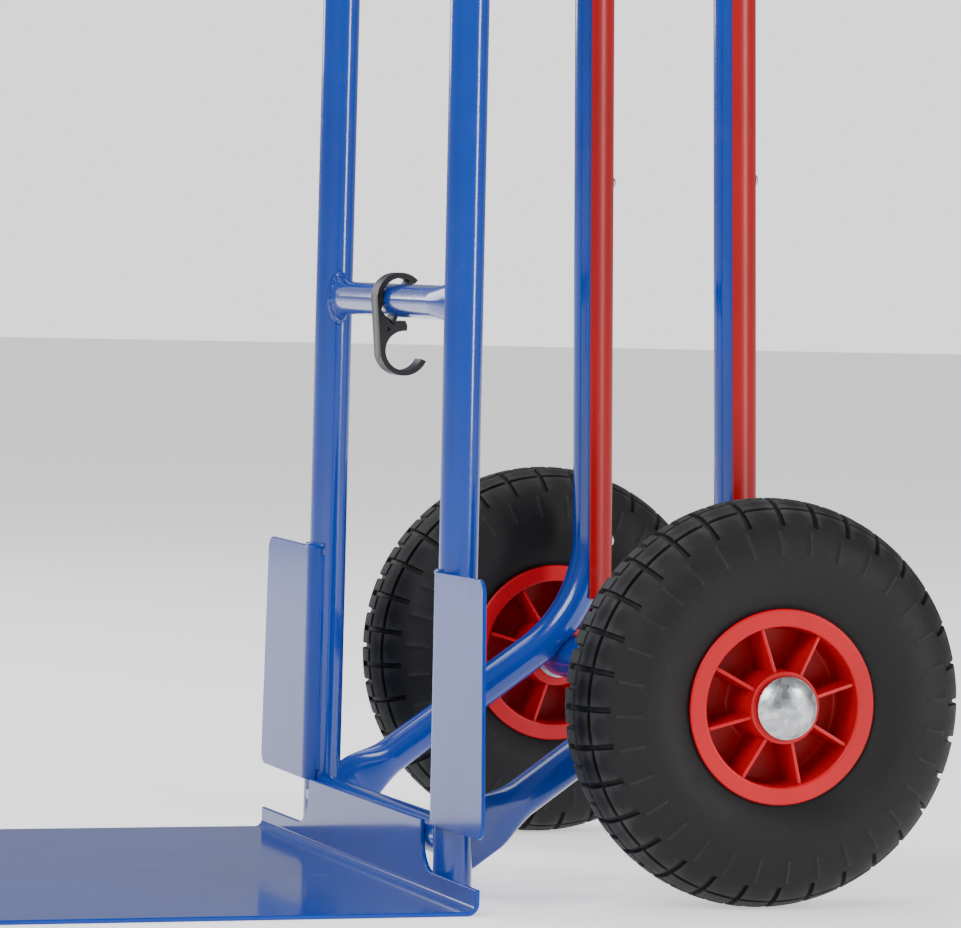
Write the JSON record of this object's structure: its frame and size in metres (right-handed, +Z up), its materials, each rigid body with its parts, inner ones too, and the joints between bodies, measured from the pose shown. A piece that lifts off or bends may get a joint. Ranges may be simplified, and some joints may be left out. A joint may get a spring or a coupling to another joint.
{
  "type": "hand truck",
  "caption": "Tubular steel hand truck with a deep toe plate, side wings, red stair skids, pneumatic wheels on a fixed axle, a clip-on hook and two angled hand grips.",
  "frame": {"origin": "centre of the truck's footprint, on the floor", "axes": "+X across the truck, towards its right wheel; -Y towards the tip of the toe plate; +Z up"},
  "size_m": [0.5362, 0.7264, 1.303],
  "materials": {
    "blue_enamel": "gloss enamel",
    "grip_black": "satin",
    "skid_red": "satin",
    "zinc": "zinc plated",
    "tyre_rubber": "matte",
    "tube_rubber": "matte",
    "rim_red": "satin",
    "hook_black": "moulded"
  },
  "bodies": {
    "frame": {"toe_plate": "blue_enamel", "foot_bar": "blue_enamel", "cross_tube_low": "blue_enamel", "cross_tube_middle": "blue_enamel", "cross_tube_top": "blue_enamel", "rear_bar": "blue_enamel", "upright_left": "blue_enamel", "upright_right": "blue_enamel", "rear_tube_left": "blue_enamel", "rear_tube_right": "blue_enamel", "stay_left": "blue_enamel", "stay_right": "blue_enamel", "side_wing_left": "blue_enamel", "side_wing_right": "blue_enamel", "axle_tube": "blue_enamel", "grip_left": "grip_black", "grip_right": "grip_black", "stair_skid_left": "skid_red", "stair_skid_right": "skid_red", "skid_screws": "zinc", "axle_rod": "zinc", "inner_washers": "zinc", "outer_washers": "zinc", "hub_cap_left": "zinc", "hub_cap_right": "zinc"},
    "wheel_left": {"tyre_left": "tyre_rubber", "inner_tube_left": "tube_rubber", "rim_left": "rim_red", "outer_bearing_left": "zinc", "inner_bearing_left": "zinc", "valve_left": "tube_rubber"},
    "wheel_right": {"tyre_right": "tyre_rubber", "inner_tube_right": "tube_rubber", "rim_right": "rim_red", "outer_bearing_right": "zinc", "inner_bearing_right": "zinc", "valve_right": "tube_rubber"},
    "hook": {"hook_clip": "hook_black"}
  },
  "joints": [
    {"name": "wheel_left_spin", "type": "hinge", "parent": "frame", "child": "wheel_left", "pos_m": [-0.217, 0.23325, 0.13], "axis": [1, 0, 0], "continuous": true},
    {"name": "wheel_right_spin", "type": "hinge", "parent": "frame", "child": "wheel_right", "pos_m": [0.217, 0.23325, 0.13], "axis": [1, 0, 0], "continuous": true},
    {"name": "hook_swing", "type": "hinge", "parent": "frame", "child": "hook", "pos_m": [0, 0.05225, 0.378], "axis": [1, 0, 0], "continuous": true}
  ]
}
